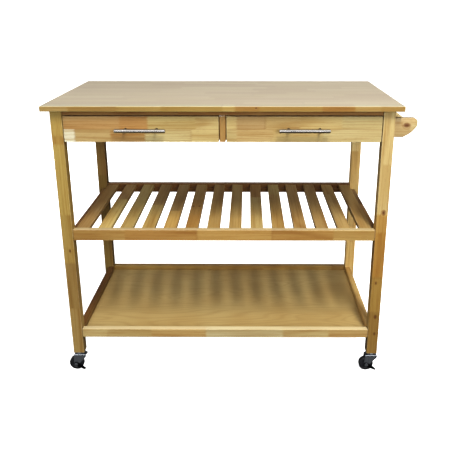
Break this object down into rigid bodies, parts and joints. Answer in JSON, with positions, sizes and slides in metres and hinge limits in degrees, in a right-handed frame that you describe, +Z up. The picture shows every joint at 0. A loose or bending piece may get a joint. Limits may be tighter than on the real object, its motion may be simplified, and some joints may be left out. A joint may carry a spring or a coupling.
{
  "type": "kitchen island cart",
  "caption": "Wooden kitchen island cart with a flat worktop, two bar-handled drawers, a slatted shelf, a solid lower shelf, a towel rail and swivel casters.",
  "frame": {"origin": "centre of the overall bounding box on the floor plane, under the wheels", "axes": "+Z up, -Y towards the drawer fronts, +X towards the towel rail end"},
  "size_m": [1.1478, 0.6306, 0.932],
  "materials": {
    "worktop_wood": "pale finger-jointed hardwood board under clear satin lacquer",
    "frame_wood": "golden hardwood under clear satin lacquer",
    "slat_wood": "golden-brown hardwood slats under clear satin lacquer",
    "drawer_front_wood": "edge-glued hardwood staves under clear satin lacquer",
    "drawer_box_wood": "plain sanded pale hardwood",
    "plywood": "rotary-cut plywood face under clear satin lacquer",
    "brushed_steel": "brushed nickel-coloured steel",
    "chromed_steel": "bright zinc or chrome plate",
    "wheel_rubber": "black solid rubber",
    "black_steel": "black painted pressed steel"
  },
  "bodies": {
    "cart_frame": {"back_apron": "frame_wood", "centre_divider": "frame_wood", "left_apron": "frame_wood", "left_drawer_runner": "drawer_box_wood", "leg_front_left": "frame_wood", "leg_front_right": "frame_wood", "leg_rear_left": "frame_wood", "leg_rear_right": "frame_wood", "lower_shelf_back_rail": "frame_wood", "lower_shelf_front_rail": "frame_wood", "lower_shelf_left_rail": "frame_wood", "lower_shelf_panel": "plywood", "lower_shelf_right_rail": "frame_wood", "right_apron": "frame_wood", "right_drawer_runner": "drawer_box_wood", "shelf_slat_01": "slat_wood", "shelf_slat_02": "slat_wood", "shelf_slat_03": "slat_wood", "shelf_slat_04": "slat_wood", "shelf_slat_05": "slat_wood", "shelf_slat_06": "slat_wood", "shelf_slat_07": "slat_wood", "shelf_slat_08": "slat_wood", "shelf_slat_09": "slat_wood", "shelf_slat_10": "slat_wood", "shelf_slat_11": "slat_wood", "shelf_slat_12": "slat_wood", "shelf_slat_13": "slat_wood", "shelf_slat_14": "slat_wood", "slat_shelf_back_rail": "frame_wood", "slat_shelf_front_rail": "frame_wood", "slat_shelf_left_rail": "frame_wood", "slat_shelf_right_rail": "frame_wood", "top_front_rail": "frame_wood", "towel_bracket_front": "frame_wood", "towel_bracket_rear": "frame_wood", "towel_rod": "frame_wood", "worktop": "worktop_wood"},
    "left_drawer": {"left_drawer_back": "drawer_box_wood", "left_drawer_bottom": "plywood", "left_drawer_front": "drawer_front_wood", "left_drawer_handle": "brushed_steel", "left_drawer_left_side": "drawer_box_wood", "left_drawer_right_side": "drawer_box_wood"},
    "right_drawer": {"right_drawer_back": "drawer_box_wood", "right_drawer_bottom": "plywood", "right_drawer_front": "drawer_front_wood", "right_drawer_handle": "brushed_steel", "right_drawer_left_side": "drawer_box_wood", "right_drawer_right_side": "drawer_box_wood"},
    "caster_front_left_swivel": {"caster_front_left_fork": "chromed_steel"},
    "caster_front_left_wheel": {"caster_front_left_wheel": "wheel_rubber"},
    "caster_front_left_brake": {"caster_front_left_brake": "black_steel"},
    "caster_front_right_swivel": {"caster_front_right_fork": "chromed_steel"},
    "caster_front_right_wheel": {"caster_front_right_wheel": "wheel_rubber"},
    "caster_front_right_brake": {"caster_front_right_brake": "black_steel"},
    "caster_rear_left_swivel": {"caster_rear_left_fork": "chromed_steel"},
    "caster_rear_left_wheel": {"caster_rear_left_wheel": "wheel_rubber"},
    "caster_rear_right_swivel": {"caster_rear_right_fork": "chromed_steel"},
    "caster_rear_right_wheel": {"caster_rear_right_wheel": "wheel_rubber"}
  },
  "joints": [
    {"name": "left_drawer_slide", "type": "slide", "parent": "cart_frame", "child": "left_drawer", "axis": [0, -1, 0], "range_m": [0, 0.3]},
    {"name": "right_drawer_slide", "type": "slide", "parent": "cart_frame", "child": "right_drawer", "axis": [0, -1, 0], "range_m": [0, 0.3]},
    {"name": "caster_front_left_swivel", "type": "hinge", "parent": "cart_frame", "child": "caster_front_left_swivel", "pos_m": [-0.5334, -0.26425, 0.025], "axis": [0, 0, 1], "continuous": true},
    {"name": "caster_front_left_roll", "type": "hinge", "parent": "caster_front_left_swivel", "child": "caster_front_left_wheel", "pos_m": [-0.5484, -0.26425, 0.025], "axis": [0, 1, 0], "continuous": true},
    {"name": "caster_front_left_brake_lift", "type": "hinge", "parent": "caster_front_left_swivel", "child": "caster_front_left_brake", "pos_m": [-0.5484, -0.26425, 0.025], "axis": [0, -1, 0], "range_deg": [0, 22]},
    {"name": "caster_front_right_swivel", "type": "hinge", "parent": "cart_frame", "child": "caster_front_right_swivel", "pos_m": [0.4856, -0.26425, 0.025], "axis": [0, 0, 1], "continuous": true},
    {"name": "caster_front_right_roll", "type": "hinge", "parent": "caster_front_right_swivel", "child": "caster_front_right_wheel", "pos_m": [0.4706, -0.26425, 0.025], "axis": [0, 1, 0], "continuous": true},
    {"name": "caster_front_right_brake_lift", "type": "hinge", "parent": "caster_front_right_swivel", "child": "caster_front_right_brake", "pos_m": [0.4706, -0.26425, 0.025], "axis": [0, -1, 0], "range_deg": [0, 22]},
    {"name": "caster_rear_left_swivel", "type": "hinge", "parent": "cart_frame", "child": "caster_rear_left_swivel", "pos_m": [-0.5334, 0.27475, 0.025], "axis": [0, 0, 1], "continuous": true},
    {"name": "caster_rear_left_roll", "type": "hinge", "parent": "caster_rear_left_swivel", "child": "caster_rear_left_wheel", "pos_m": [-0.5484, 0.27475, 0.025], "axis": [0, 1, 0], "continuous": true},
    {"name": "caster_rear_right_swivel", "type": "hinge", "parent": "cart_frame", "child": "caster_rear_right_swivel", "pos_m": [0.4856, 0.27475, 0.025], "axis": [0, 0, 1], "continuous": true},
    {"name": "caster_rear_right_roll", "type": "hinge", "parent": "caster_rear_right_swivel", "child": "caster_rear_right_wheel", "pos_m": [0.4706, 0.27475, 0.025], "axis": [0, 1, 0], "continuous": true}
  ]
}
